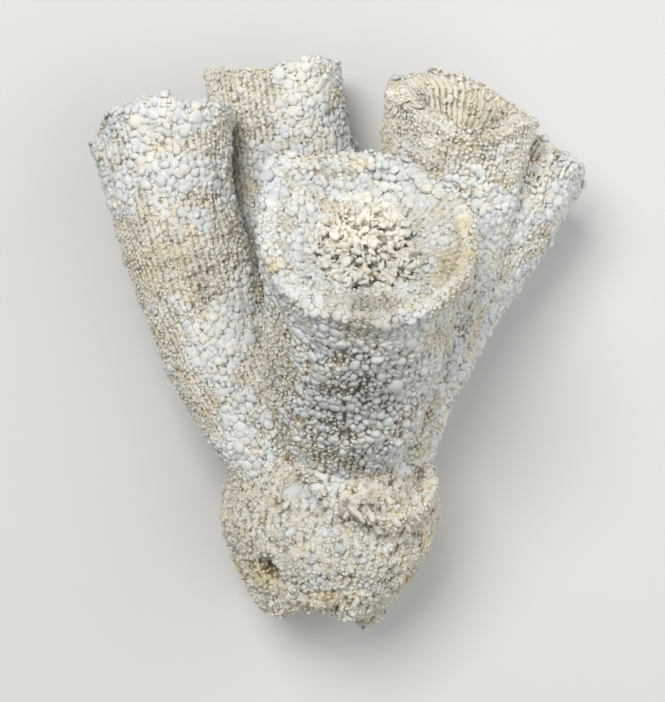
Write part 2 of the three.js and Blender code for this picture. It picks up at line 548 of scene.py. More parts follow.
# %% One wall from outline to finished form
def grow_wall(name, shape, outline, outside, length):
    """One wall from outline to finished form, with its column and station kept as attributes."""
    facets = shape["ribs"] * RIB_FACETS
    piece = turned(name, outline, facets)
    keep(piece, "column", raise_ribs(piece, facets, outside, shape))
    if "cup_shift" in shape:
        shift_cup(piece, outside, shape["cup_shift"])
    set_depth(piece, shape["depth"], length)
    bent(piece, shape["axis"])
    wear_down(piece, shape["wear"])
    roughen(piece, shape.get("rough", 1))
    press_on_table(piece)
    bpy.ops.object.shade_smooth()
    low, high = points_of(piece).min(axis=0), points_of(piece).max(axis=0)
    print(name, len(piece.data.vertices), "vertices,", in_mm(high - low), "mm")
    return piece


# %% Grow the five corallites
walls = {}
rim_station = {}


def grow_trumpet(name, shape):
    """One tube with an open cup."""
    length = axis_length(shape["axis"])
    outline, rim_station[name] = trumpet_outline(shape, length)
    walls[name] = grow_wall(name + "_wall", shape, outline, rim_station[name], length)


for name, shape in CORALLITES.items():
    grow_trumpet(name, shape)
    solid_low, solid_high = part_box(name)
    print("    its solid", in_mm(Vector(solid_high) - Vector(solid_low)), "mm")

# %% [markdown]
# ## The old rim and the stem
#
# An older, narrower cup is left as a broken sleeve round the foot of the front corallite: one more
# trumpet, short and rough. The stem has no cup. Its outline runs from the middle of the broken end, round
# its edge and along its side into the corallites.

# %% The old rim under the front corallite
COLLAR = {
    "axis": [(3, -52, 20), (5, -44, 30), (7, -36, 38), (9, -29, 44)],
    "widths": (15, 16.5, 17.5, 18, 18.6, 19.4),
    "depth": (1, 0.92),
    "lip": 3,
    "cup": 6,
    "bowl": FUNNEL,
    "ribs": 52,
    "rib": 0.7,
    "septum": 0.8,
    "rough": 1.5,
    "wear": [
        ((-8, -38, 48), (1, 2, -2.5), 9), ((20, -40, 40), (-1, -1, 0), 8),
        ((8, -46, 52), (0, 2, -2), 5),
    ],
}
grow_trumpet("stem_collar", COLLAR)

# %% The stem
STEM_EDGE = 24  # the outline's first points, which cover the broken end
STEM_END = (0, 63)
stem_line = [*even_steps(STEM["outline"], RING_STEP), STEM_END]
stem_line = [(r - CRUST * min(1, r / 6), z) for r, z in stem_line]
walls["stem"] = grow_wall("stem_wall", STEM, stem_line, STEM_EDGE, axis_length(STEM["axis"]))
rim_station["stem"] = STEM_EDGE

# %% [markdown]
# ## Where the crust grew, where it is stained, and where shade is painted
#
# The crust is a mineral skin of round knobs. It is thick and white in some places, and missing in others,
# where the tan wall shows its ribs. Instead of a painted image, a short list of soft round dabs says where,
# how far and how much, over one level for the whole piece. Stains are dabs of colour, and so are a few
# painted shadows and patches of painted shade.

# %% Crust dabs in millimetres
CRUST_DABS = {
    "front_corallite": (0.7, [
        ((-17, -14, 50), 17, 0.05), ((31, -9, 50), 16, 0.1), ((30, 8, 62), 15, 0.15),
        ((-18, 2, 60), 15, 0.1),
        ((-14, 17, 89), 5, 0.4), ((9, 13, 92), 8, 0.15), ((27, 20, 85), 8, 0.05), ((28, 34, 86), 5, 0.2),
        ((7, 26, 72), 9, 0.1), ((-1, 36, 76), 4, 0.4), ((6, -12, 70), 15, 0.9), ((8, 42, 76), 14, 0.9),
    ]),
    "left_corallite": (0.35, [
        ((-43, 47, 54), 19, 1.0), ((-29, 51, 50), 8, 0.1), ((-41, 20, 54), 14, 0.1),
        ((-29, 1.5, 52), 8, 1.0), ((-24, 13, 50), 9, 0.85), ((-24, -18, 48), 14, 0.8),
        ((-37, -11, 44), 9, 0.25), ((-60, 58, 42), 7, 0.8),
    ]),
    "right_corallite": (0.56, [
        ((34, 58, 42), 17, 0), ((33, 62, 48), 20, 0.02), ((18, 63, 52), 10, 0.15),
        ((30, 50, 52), 13, 0.05), ((27, 13, 50), 20, 0.6),
        ((42, 32, 48), 11, 0.7), ((49, 56, 45), 5, 0.5), ((16, 52, 45), 10, 0.15),
    ]),
    "back_corallite": (0.5, [
        ((-29, 64, 28), 13, 0.1), ((-8, 66, 36), 14, 1.0), ((0, 56, 34), 9, 0.85), ((-8, 40, 36), 12, 0.7),
    ]),
    "side_corallite": (0.75, [((57, 43, 25), 16, 0.95), ((49, 41, 36), 4, 0.1), ((40, 10, 34), 15, 0.6)]),
    "stem_collar": (0.12, [((-6, -38, 50), 6, 0.7), ((22, -36, 46), 5, 0.5)]),
    "stem": (0.12, [((-3, -34, 54), 9, 0.8), ((24, -34, 46), 8, 0.4), ((27, -33, 34), 8, 0.5)]),
}
print("crust painted with", sum(len(dabs) for _, dabs in CRUST_DABS.values()), "dabs")

# %% Stain colours, also used for painted shade
YELLOW = (0.58, 0.48, 0.22)
PALE_YELLOW = (0.7, 0.6, 0.36)
ORANGE = (0.5, 0.31, 0.08)
PEACH = (0.66, 0.5, 0.33)
BROWN = (0.16, 0.105, 0.06)
# GREY darkens the stone under the front rim: partly its own grey, partly painted shade.
GREY = (0.3, 0.31, 0.3)
CREAM = (0.82, 0.78, 0.66)
DULL = (0.5, 0.51, 0.49)
OCHRE = (0.5, 0.42, 0.27)
DRAB = (0.4, 0.385, 0.33)

# %% Stain dabs in millimetres, among them painted shadow and shade
STAIN_AND_SHADE_DABS = {
    "front_corallite": [
        ((8, 28, 88), 26, DULL, 0.5), ((7.5, 11, 93), 9, DRAB, 1.0), ((29, -5, 55), 15, DRAB, 0.5),
        # The two brown dabs at the foot of the front corallite are a painted shadow under its overhanging
        # heel.
        ((14, -32, 46), 2.5, BROWN, 0.9), ((7.4, -36, 48), 2.5, BROWN, 0.8),
        ((-13.3, 20, 90), 2.8, YELLOW, 0.6), ((-10.1, 19, 91), 2.2, YELLOW, 0.5),
        ((6.3, 46, 72), 4, YELLOW, 0.5),
        ((27, 20, 85), 7, OCHRE, 0.6), ((4.5, 15.7, 90), 4, YELLOW, 0.55), ((9.2, 19.4, 84), 4, PEACH, 0.6),
        ((11, 14, 91), 5, PEACH, 0.6), ((23.5, 14, 80), 3.5, BROWN, 0.35), ((7, 26, 72), 12, CREAM, 0.75),
        ((30, 30, 82), 5, PALE_YELLOW, 0.45), ((4, 9, 84), 9, PALE_YELLOW, 0.3),
        # The grey dabs under the front rim are partly the stone's grey and partly painted shade.
        ((6, -8, 72), 14, GREY, 0.75), ((8, -24, 56), 9, GREY, 0.45),
    ],
    "left_corallite": [((-41, 52, 56), 5, PALE_YELLOW, 0.35), ((-43, 22, 54), 9, PALE_YELLOW, 0.15)],
    "right_corallite": [
        ((24, 57, 50), 2, YELLOW, 0.8), ((22, 64, 50), 5, PALE_YELLOW, 0.5), ((31, 45, 50), 3, BROWN, 0.4),
        ((34, 62, 43), 15, CREAM, 0.95), ((18, 62, 50), 9, CREAM, 0.6), ((48, 55, 46), 6, CREAM, 0.5),
    ],
    "back_corallite": [
        # The faint brown dab is painted shade where the left corallite overhangs the back one.
        ((-27, 66, 28), 12, CREAM, 0.6), ((-8, 70, 34), 5, CREAM, 0.5), ((-20, 50, 36), 8, BROWN, 0.12),
    ],
    "side_corallite": [((49, 41, 36), 5, PALE_YELLOW, 0.4)],
    "stem_collar": [
        # The brown dabs are a painted shadow under the overhanging heel of the front corallite.
        ((10, -36, 46), 5, BROWN, 0.4), ((16, -42, 48), 7, PALE_YELLOW, 0.4),
        ((14, -32, 46), 3, BROWN, 0.9),
        ((7.4, -36, 48), 3, BROWN, 0.8),
    ],
    "stem": [
        ((0, -48, 48), 20, DULL, 0.45), ((18, -46, 42), 10, DRAB, 0.5), ((-2, -66, 34), 9, CREAM, 0.6),
        ((-17.3, -58, 40), 6, YELLOW, 0.5), ((-25, -57, 26), 5, YELLOW, 0.6),
        ((-9.5, -62, 40), 3.5, YELLOW, 0.7), ((-1, -61, 42), 8, PALE_YELLOW, 0.5),
        # The brown dab at (10, -38) is painted shadow under the heel of the front corallite; the orange is a
        # stain.
        ((20, -59, 34), 4, ORANGE, 0.7), ((10, -38, 50), 5, BROWN, 0.35),
        ((24, -45, 40), 9, PALE_YELLOW, 0.4),
    ],
}
print("stain_and_shadeed with", sum(len(dabs) for dabs in STAIN_AND_SHADE_DABS.values()), "dabs")


# %% Dabs and blotches
def dab(points, where, reach):
    """How much a soft round dab covers each point, from 0 to 1."""
    gap = np.linalg.norm(points - np.array(place(where)), axis=1) / (reach * MM)
    return np.exp(-1.1 * gap**2)


def blotches(points, size, seed):
    """A smooth random value between 0 and 1 for every point, with blotches of the given size."""
    dice = np.random.default_rng(seed)
    grid = dice.random((48, 48, 48))
    spot = points / (size * MM) + 500
    cell = np.floor(spot).astype(int)
    part = spot - cell
    part = part * part * (3 - 2 * part)
    value = np.zeros(len(points))
    for corner in range(8):
        step = np.array([corner & 1, corner >> 1 & 1, corner >> 2])
        weight = np.prod(np.where(step, part, 1 - part), axis=1)
        x, y, z = ((cell + step) % 48).T
        value += weight * grid[x, y, z]
    return value


# %% How thick the crust is
def crust_amount(name, points):
    """How thick the crust is at every point, from 0 to 1."""
    level, dabs = CRUST_DABS[name]
    amount = np.full(len(points), float(level))
    for where, reach, much in dabs:
        cover = dab(points, where, reach)
        amount += cover * (much - amount)
    patchy = 0.9 * (blotches(points, 7, 3) - 0.5) + 0.75 * (blotches(points, 2.6, 4) - 0.5)
    return np.clip(amount + patchy, 0, 1)


# %% Where shade is painted between the knobs, and the knobs lie looser
SHADE_DABS = {
    "front_corallite": [((5, -12, 68), 15), ((12, -22, 55), 9), ((5, 1, 77), 10)],
    "right_corallite": [((31, 44, 50), 5)],
}


def painted_shade_amount(name, points):
    """How much shade is painted on the wall between its knobs; the knobs also lie looser there."""
    amount = np.zeros(len(points))
    for where, reach in SHADE_DABS.get(name, ()):
        amount = np.maximum(amount, dab(points, where, reach))
    return amount


# %% Keeping the stains and the painted shade
def stain_and_shade_colour(name, points):
    """Red, green, blue and strength of the stains and painted shade at every point."""
    colour = np.zeros((len(points), 4))
    ragged = 0.35 + 1.1 * blotches(points, 1.8, 5)
    for where, reach, tone, much in STAIN_AND_SHADE_DABS[name]:
        cover = dab(points, where, reach) * much * ragged
        heavier = cover > colour[:, 3]
        colour[heavier, :3] = tone
        colour[heavier, 3] = cover[heavier]
    return np.clip(colour, 0, 1)


def write_stain_and_shade(piece, colours):
    """Keeps the colour of the stains and painted shade on each vertex, with its strength as alpha."""
    layer = piece.data.attributes.new("stain_and_shade", "FLOAT_COLOR", "POINT")
    layer.data.foreach_set("color", colours.ravel())

# %% [markdown]
# ## Hollows
#
# Dust and shade gather in hollows. A shader can find them, but an exported model loses that, so they are
# measured on the mesh: a vertex is in a hollow when it lies below the average of its surroundings. The
# result is kept as an attribute that the material darkens by.


# %% Averages over neighbours
def softened(piece, values, rounds):
    """Each vertex takes the average of its neighbours' values, again and again."""
    pairs = np.empty(len(piece.data.edges) * 2, dtype=np.int64)
    piece.data.edges.foreach_get("vertices", pairs)
    a, b = pairs[0::2], pairs[1::2]
    count = len(values)
    neighbours = np.bincount(a, minlength=count) + np.bincount(b, minlength=count)
    for _ in range(rounds):
        lanes = []
        for lane in values.T:
            total = np.bincount(a, lane[b], count) + np.bincount(b, lane[a], count)
            lanes.append((lane + total) / (1 + neighbours))
        values = np.stack(lanes, axis=1)
    return values


# %% Marking a wall
DEEP_WALL = 1.0  # a groove this many millimetres deep gets the darkest painted shade a wall gets
DEEP_CUP = 2.2  # the same in a cup, whose grooves are deeper
DEEP_RIGHT_CUP = 3.2  # the right cup gets the least painted shade


def in_cup(name, wall):
    """Which vertices lie inside the mouth. The stem has none."""
    return (read_kept(wall, "station") > rim_station[name]) & (name != "stem")


def mark_wall(name, wall):
    """Keeps painted shade in the hollows, the crust and the stains as attributes, and returns what the knobs
    need.
    """
    points, normals = points_of(wall), rows_of(wall.data.vertex_normals, "vector")
    smooth_normals = softened(wall, normals, 14)
    smooth_normals /= np.linalg.norm(smooth_normals, axis=1)[:, None] + 1e-9
    depth = ((softened(wall, points, 10) - points) * smooth_normals).sum(axis=1)
    deep_cup = DEEP_RIGHT_CUP if name == "right_corallite" else DEEP_CUP
    deep = np.where(in_cup(name, wall), deep_cup, DEEP_WALL)
    crust = crust_amount(name, points)
    # Painted shade: a vertex is darker the deeper it lies in a hollow, and darker again in the shade dabs.
    dark = 0.5 + depth / deep / MM + 0.75 * painted_shade_amount(name, points)
    keep(wall, "hollow", np.clip(dark, 0, 1))
    keep(wall, "crust", crust)
    keep(wall, "tint", blotches(points, 1.1, 6))
    write_stain_and_shade(wall, stain_and_shade_colour(name, points))
    return points, smooth_normals, crust

# %% [markdown]
# ## Knobs
#
# Bump alone would leave the outline smooth, so the knobs are modelled. One knob is a small ball cut off
# below and closed, with a few dozen faces. One grain is smaller and coarser. They are strewn from large to
# small, and a place is taken only if no knob sits there yet. Each copy is flattened, stretched and turned
# a little differently, and all the copies on one wall become one mesh.


# %% The knob and the grain
def started(name):
    """Names the primitive that was just added, and selects all of it in edit mode."""
    form = bpy.context.object
    form.name = name
    enter("EDIT")
    bpy.ops.mesh.select_all(action="SELECT")
    return form


def taken_apart(form):
    """The points and the faces of a form, which is then removed."""
    enter("OBJECT")
    points = points_of(form)
    faces = [tuple(face.vertices) for face in form.data.polygons]
    print(form.name, len(faces), "faces")
    bpy.data.objects.remove(form)
    return points, faces


def knob_form(name, segments, rings, boxy):
    """A ball of radius 1, cut off at its middle and closed."""
    bpy.ops.object.select_all(action="DESELECT")
    bpy.ops.mesh.primitive_uv_sphere_add(segments=segments, ring_count=rings, radius=1, location=(0, 0, 0))
    form = started(name)
    bpy.ops.mesh.bisect(plane_co=(0, 0, 0), plane_no=(0, 0, 1), clear_inner=True, use_fill=True)
    bpy.ops.transform.translate(value=(0, 0, -0.55))
    bpy.ops.mesh.select_all(action="SELECT")
    bpy.ops.mesh.normals_make_consistent(inside=False)
    enter("OBJECT")
    cast = form.modifiers.new("Cast", "CAST")
    cast.cast_type = "CYLINDER"
    cast.factor = boxy
    bpy.ops.object.modifier_apply(modifier=cast.name)
    return taken_apart(form)


KNOB = knob_form("knob", 8, 6, 0.22)
GRAIN = knob_form("grain", 6, 4, 0.1)

# %% Finding room for them
class Ground:
    """Remembers which places are taken, in a grid of small cells."""

    def __init__(self, cell):
        self.cell = cell
        self.cells = {}

    def room_for(self, x, y, z, radius, spacing):
        """Whether a knob fits here. If it does, its place is taken from now on."""
        i, j, k = int(x // self.cell), int(y // self.cell), int(z // self.cell)
        around = ((a, b, c) for a in (i - 1, i, i + 1) for b in (j - 1, j, j + 1) for c in (k - 1, k, k + 1))
        for cell in around:
            for px, py, pz, pr in self.cells.get(cell, ()):
                reach = spacing * (pr + radius)
                if (px - x) ** 2 + (py - y) ** 2 + (pz - z) ** 2 < reach * reach:
                    return False
        self.cells.setdefault((i, j, k), []).append((x, y, z, radius))
        return True


def find_places(points, wanted, smallest, largest, spacing, ground, dice):
    """Numbers of the vertices that get a knob, and the knobs' radii."""
    candidates = np.flatnonzero(dice.random(len(points)) < wanted)
    dice.shuffle(candidates)
    radii = dice.uniform(smallest, largest, len(candidates)) * MM
    places = points[candidates].tolist()
    kept = [n for n, (x, y, z) in enumerate(places) if ground.room_for(x, y, z, radii[n], spacing)]
    return candidates[kept], radii[kept]


# %% Copying them into one mesh
def joined_copies(name, form, copies):
    """One mesh made of many copies of a form; copies holds the points of every copy."""
    count, size = copies.shape[:2]
    sides = np.array([len(face) for face in form[1]])
    loops = np.concatenate([np.array(face) for face in form[1]])
    mesh = bpy.data.meshes.new(name)
    mesh.vertices.add(count * size)
    mesh.vertices.foreach_set("co", copies.ravel())
    mesh.loops.add(count * len(loops))
    mesh.loops.foreach_set("vertex_index", (loops[None, :] + size * np.arange(count)[:, None]).ravel())
    mesh.polygons.add(count * len(sides))
    mesh.polygons.foreach_set("loop_start", np.concatenate([[0], np.cumsum(np.tile(sides, count))[:-1]]))
    mesh.update(calc_edges=True)
    mesh.validate()
    piece = bpy.data.objects.new(name, mesh)
    bpy.context.scene.collection.objects.link(piece)
    pick(piece)
    bpy.ops.object.shade_smooth()
    return piece


# %% Standing them on the wall
TILT = 0.13  # how far a copy leans from the wall's normal
STRETCH = (0.8, 1.28)  # each copy is made longer or shorter along both its sides


def strewn_mesh(name, form, spots, normals, radii, heights, dice):
    """Joins one copy of the form for each spot, standing on the wall."""
    form_points = form[0]
    count = len(spots)
    normals = normals + dice.normal(size=(count, 3)) * TILT
    normals /= np.linalg.norm(normals, axis=1)[:, None]
    across = np.cross(normals, dice.normal(size=(count, 3)))
    across /= np.linalg.norm(across, axis=1)[:, None] + 1e-12
    along = np.cross(normals, across)
    stretch = dice.uniform(*STRETCH, (count, 2)) * radii[:, None]
    tall = heights * radii
    copies = spots[:, None, :] + (
        across[:, None, :] * (form_points[None, :, :1] * stretch[:, None, :1])
        + along[:, None, :] * (form_points[None, :, 1:2] * stretch[:, None, 1:])
        + normals[:, None, :] * (form_points[None, :, 2:] * tall[:, None, None])
    )
    copies[:, :, 2] = np.maximum(copies[:, :, 2], TABLE + 0.02 * MM)
    piece = joined_copies(name, form, copies)
    # Painted shade: each copy is darker towards its foot, where it meets the wall.
    keep(piece, "hollow", np.tile(1 - np.clip(0.5 + form_points[:, 2], 0.38, 1), count))
    return piece

# %% [markdown]
# ## Strewing the walls
#
# The walls run through each other where the tubes part. A knob inside another wall would never be seen, so
# it is left out. Geometry nodes could scatter knobs too, but a loop that takes places one after another
# keeps their sizes in order.

# %% Inside or outside
bpy.context.view_layer.update()
depsgraph = bpy.context.evaluated_depsgraph_get()
solids = {name: BVHTree.FromObject(wall, depsgraph) for name, wall in walls.items()}
SLANTED = Vector((0.11, 0.07, 1)).normalized()


def is_inside(tree, point):
    """Whether a point is inside a closed wall: a ray from it then leaves the wall an odd number of times."""
    start, crossings = Vector(point), 0
    while crossings < 12:
        hit, _, _, _ = tree.ray_cast(start, SLANTED)
        if hit is None:
            return crossings % 2 == 1
        crossings += 1
        start = hit + SLANTED * 2e-6
    return False


def buried(name, point, allow):
    """Whether a point lies deep inside another wall."""
    for other, tree in solids.items():
        if other != name and is_inside(tree, point) and tree.find_nearest(point)[3] > allow:
            return True
    return False


def only_seen(name, points, strewn):
    """Leaves out what is buried in another wall or would reach into the table."""
    chosen, radii, _ = strewn
    seen = [n for n, v in enumerate(chosen) if not buried(name, points[v], 0.3 * MM)]
    seen = [n for n in seen if points[chosen[n]][2] > 0.6 * radii[n]]
    return [part[seen] for part in strewn]


# %% From chosen places to a piece
SINK = 0.3  # how far a copy is sunk into the wall, as a share of its height
NUDGE = 0.22  # how far it is moved off its vertex, in millimetres


def strewn_piece(name, label, form, strewn, lumpy, wall_data, dice):
    """The mesh of one wall's knobs or grains, with all that the material reads."""
    points, normals, crust = wall_data
    chosen, radii, heights = only_seen(name, points, strewn)
    shift = dice.normal(size=(len(chosen), 3)) * NUDGE * MM
    shift -= normals[chosen] * (shift * normals[chosen]).sum(axis=1)[:, None]
    spots = points[chosen] + shift - normals[chosen] * (radii * heights * SINK)[:, None]
    piece = strewn_mesh(name + label, form, spots, normals[chosen], radii, heights, dice)
    size = len(form[0])
    # Painted shade: in the shade dabs the copies are darker still.
    more_shade = 1 + np.repeat(painted_shade_amount(name, spots), size)
    keep(piece, "hollow", np.clip(read_kept(piece, "hollow") * more_shade, 0, 1))
    keep(piece, "crust", np.repeat(crust[chosen], size))
    keep(piece, "tint", np.repeat(dice.random(len(chosen)), size))
    write_stain_and_shade(piece, np.repeat(stain_and_shade_colour(name, spots), size, axis=0))
    lump(piece, "lumpy", 1.0, 0.75 * lumpy, depth=1)
    press_on_table(piece)
    bpy.ops.object.shade_smooth()
    print(piece.name, len(chosen), "copies")
    return piece


# %% Choosing places for the knobs
# smallest and largest radius, the crust needed, the largest share of vertices, the lowest height
KNOB_SIZES = (
    (1.35, 1.9, 0.8, 0.02, 0.3),
    (0.95, 1.35, 0.62, 0.5, 0.42),
    (0.62, 0.95, 0.5, 0.8, 0.5),
    (0.42, 0.62, 0.42, 0.8, 0.55),
)
KNOB_SPACING = 0.69  # knobs may overlap down to this share of their radii
KNOB_LUMPS = 1.45


def knob_places(wall_data, ridge, loose, ground, dice):
    """The vertices that get a knob, from large to small, with radii and heights."""
    points, _, crust = wall_data
    found = []
    for smallest, largest, limit, share, low in KNOB_SIZES:
        wanted = np.clip((crust - limit) * 4, 0, share) * ridge * (1 - 0.25 * loose)
        chosen, radii = find_places(points, wanted, smallest, largest, KNOB_SPACING, ground, dice)
        heights = dice.uniform(low, low + 0.35, len(chosen)) + 0.7 * loose[chosen]
        found.append((chosen, radii, heights))
    return [np.concatenate(part) for part in zip(*found)]


# %% Choosing places for the grains
GRAIN_SPACING = 0.74
GRAIN_SIZE = (0.4, 0.68)
STEM_GRAIN_SIZE = (0.38, 0.82)
GRAINS_IN_CUP = {"right_corallite": 0.2, "stem_collar": 1.0}  # the others have half as many as outside


def grain_places(name, wall_data, crest, inside, loose, ground, dice):
    """The vertices that get a grain, between the knobs, with radii and heights."""
    points, _, crust = wall_data
    wanted = np.where(crust > 0.5, 0.25, 0.3 + 0.55 * crest)
    wanted = wanted * np.where(inside, GRAINS_IN_CUP.get(name, 0.5), 1) * (1 - 0.7 * loose)
    smallest, largest = STEM_GRAIN_SIZE if name.startswith("stem") else GRAIN_SIZE
    chosen, radii = find_places(points, wanted, smallest, largest, GRAIN_SPACING, ground, dice)
    return chosen, radii, dice.uniform(0.55, 0.95, len(chosen))


# %% Strewing one wall after another
GROUND_CELL = 2.4  # about as far apart as two of the largest knobs can touch
pieces = {}
for number, (name, wall) in enumerate(walls.items()):
    dice = np.random.default_rng(100 + number)
    wall_data = mark_wall(name, wall)
    column = read_kept(wall, "column")
    inside = in_cup(name, wall)
    crest = np.where(column == 0, 1.0, np.where(column == 2, 0.25, 0.55))
    ridge = np.where(inside, crest, 0.6 + 0.4 * crest)
    loose = painted_shade_amount(name, wall_data[0])
    ground = Ground(GROUND_CELL * MM)
    knobs = knob_places(wall_data, ridge, loose, ground, dice)
    grains = grain_places(name, wall_data, crest, inside, loose, ground, dice)
    grain_lumps = 1.2 if name.startswith("stem") else 0.5
    pieces[name + "_knobs"] = strewn_piece(name, "_knobs", KNOB, knobs, KNOB_LUMPS, wall_data, dice)
    pieces[name + "_grains"] = strewn_piece(name, "_grains", GRAIN, grains, grain_lumps, wall_data, dice)

# %% [markdown]
# ## Broken plates in the front cup
#
# In the middle of the front cup the septa are broken into a tangle of thin cream plates. Raised from the
# wall they would make a neat star, so one plate is a thin box, divided so that noise can break its edges.
# It is copied round the axis of an upright cup, and the fan is then bent along the same axis as its wall.


# %% One plate and one crumb
def box_form(name, cuts):
    """A box of size 1, evenly divided."""
    bpy.ops.object.select_all(action="DESELECT")
    bpy.ops.mesh.primitive_cube_add(size=1, location=(0, 0, 0))
    form = started(name)
    bpy.ops.mesh.subdivide(number_cuts=cuts)
    return taken_apart(form)


def round_form(name, finer):
    """A ball of radius 1 with even triangles, to be squeezed and roughened."""
    bpy.ops.object.select_all(action="DESELECT")
    bpy.ops.mesh.primitive_ico_sphere_add(subdivisions=finer, radius=1, location=(0, 0, 0))
    return taken_apart(started(name))


PLATE = box_form("plate", 4)
CRUMB = round_form("crumb", 2)

# %% Standing plates in the upright cup
FRONT = CORALLITES["front_corallite"]
FRONT_LENGTH = axis_length(FRONT["axis"])
PLATE_COUNT, CRUMB_COUNT = 46, 420
PLATE_FOOT = FRONT_LENGTH - 14.5
PLATE_RING, CRUMB_RING = 11.5, 13  # no plate or crumb stands further from the axis


def plate_points(dice):
    """One plate that stands in the cup, in millimetres, with its own place, turn, size and lean."""
    angle, away = dice.uniform(0, math.tau), PLATE_RING * math.sqrt(dice.uniform(0.02, 1))
    facing = angle + dice.normal(0, 0.5)
    top = FRONT_LENGTH - dice.uniform(5.6, 9.0) - 0.12 * (12 - away)
    x = PLATE[0][:, 0] * dice.uniform(2.5, 6)
    y = PLATE[0][:, 1] * dice.uniform(0.6, 1.3)
    z = PLATE_FOOT + (PLATE[0][:, 2] + 0.5) * (top - PLATE_FOOT)
    y = y + (z - PLATE_FOOT) * dice.uniform(-0.15, 0.15)
    turned_x = away * math.cos(angle) + x * math.cos(facing) - y * math.sin(facing)
    turned_y = away * math.sin(angle) + x * math.sin(facing) + y * math.cos(facing)
    return np.stack([turned_x, turned_y, z], axis=1)


def crumb_points(dice):
    """One crumb between the plates, in millimetres."""
    angle, away = dice.uniform(0, math.tau), CRUMB_RING * math.sqrt(dice.uniform(0, 1))
    height = FRONT_LENGTH - dice.uniform(6.2, 9.6)
    middle = np.array([away * math.cos(angle), away * math.sin(angle), height])
    form = CRUMB[0] * dice.uniform((0.35, 0.35, 0.35), (1.35, 1.1, 0.9))
    lean = dice.uniform(-1, 1, 2)
    form[:, 2] += form[:, 0] * lean[0] * 0.7 + form[:, 1] * lean[1] * 0.7
    return form + middle


# %% Bending the fan with its cup
dice = np.random.default_rng(7)
plate_copies = np.array([plate_points(dice) * MM for _ in range(PLATE_COUNT)])
crumb_copies = np.array([crumb_points(dice) * MM for _ in range(CRUMB_COUNT)])
plates = joined_copies("front_corallite_plates", PLATE, plate_copies)
crumbs = joined_copies("front_corallite_crumbs", CRUMB, crumb_copies)
for piece in (plates, crumbs):
    depth = FRONT_LENGTH - 5.5 - points_of(piece)[:, 2] / MM
    # Painted shade: the plates and crumbs are darker the deeper they stand in the cup.
    keep(piece, "hollow", np.clip(0.03 + depth / 14, 0, 1))
    keep(piece, "crust", 0 * depth)
    keep(piece, "tint", 0 * depth + 0.9)
    bent(piece, FRONT["axis"])
    lump(piece, "broken", 2.0, 1.6, depth=1)
    lump(piece, "crumbly", 0.8, 0.7, depth=1)
    write_stain_and_shade(piece, stain_and_shade_colour("front_corallite", points_of(piece)))
    pieces[piece.name] = piece
    print(piece.name, len(piece.data.vertices), "vertices")

# %% [markdown]
# ## Single cobbles and ridges on the stem
#
# A few white cobbles sit on the bare stem, and the broken edge of the old rim shows as a row of short
# thick ridges. They are few enough to be set down one by one rather than strewn: each has its own place,
# size and turn, and is dropped from above onto whichever wall is highest there.

# %% Cobbles and ridges: where, half length, half width, and turn in radians
STEM_COBBLES = [
    (-10.3, -45.5, 1.5, 1.3, 0.3), (0.4, -45.2, 1.5, 1.2, 2.4), (-2.0, -45.6, 1.8, 1.3, 0.8),
    (-11.8, -38.8, 1.4, 1.2, 0), (-12.3, -42.0, 1.5, 1.2, 1.2), (-13.7, -44.2, 1.1, 0.9, 2.5),
    (-4.8, -48.4, 1.7, 0.8, 1.6), (-4.8, -51.6, 1.4, 1.2, 0.4), (2.2, -49.0, 1.8, 1.4, 0.2),
    (16.5, -39.4, 1.1, 0.9, 0.5), (20.8, -37.6, 1.7, 1.2, 1.0), (-10.0, -35.9, 3.2, 2.0, 0.5),
    (-3.9, -34.4, 2.0, 1.7, 0.2), (-0.1, -35.2, 1.8, 1.3, 1.1), (-6.9, -38.2, 1.5, 1.1, 2.0),
    (-1.5, -38.3, 1.2, 1.0, 0.3), (-15.5, -52.5, 1.2, 1.0, 0.7), (7.6, -52.4, 1.3, 1.0, 0.1),
    (-9.5, -55.2, 1.2, 0.9, 1.9), (13.1, -50.3, 1.2, 0.9, 2.2), (3.5, -55.5, 1.0, 0.8, 0.9),
    (-6.5, -60.2, 1.2, 0.9, 0.6), (8.5, -59.0, 1.1, 0.8, 1.4), (17.2, -47.8, 1.2, 1.0, 0.1),
]
STEM_RIDGES = [
    (2.4, -39.8, 2.6, 0.9, -1.5), (5.9, -40.2, 2.9, 1.0, -1.3), (9.3, -40.6, 2.8, 0.9, -1.25),
    (12.6, -41.0, 2.9, 1.0, -1.1), (15.6, -42.4, 2.7, 0.9, -1.0), (18.4, -43.6, 2.3, 0.9, -0.95),
    (7.6, -43.9, 1.9, 0.8, -1.3), (11.4, -44.6, 1.9, 0.8, -1.2), (20.6, -41.2, 2.0, 0.8, -0.8),
    (-1.0, -41.0, 2.0, 0.8, -1.6), (14.4, -37.6, 2.2, 1.0, -0.6), (17.6, -36.6, 2.4, 1.1, -0.5),
    (-7.0, -63.6, 2.4, 0.9, -1.7), (-3.8, -63.8, 2.5, 0.9, -1.6), (-0.6, -64.0, 2.4, 0.9, -1.6),
    (2.6, -64.2, 2.5, 0.9, -1.5), (5.8, -64.0, 2.3, 0.9, -1.5), (-10.0, -62.6, 2.0, 0.8, -1.9),
]


# %% Set down one by one
def landing(x, y):
    """Where something dropped from above lands, and the wall's normal there."""
    falls = [tree.ray_cast(place((x, y, 150)), Vector((0, 0, -1))) for tree in solids.values()]
    return max([fall[:2] for fall in falls if fall[0]], key=lambda fall: fall[0].z)


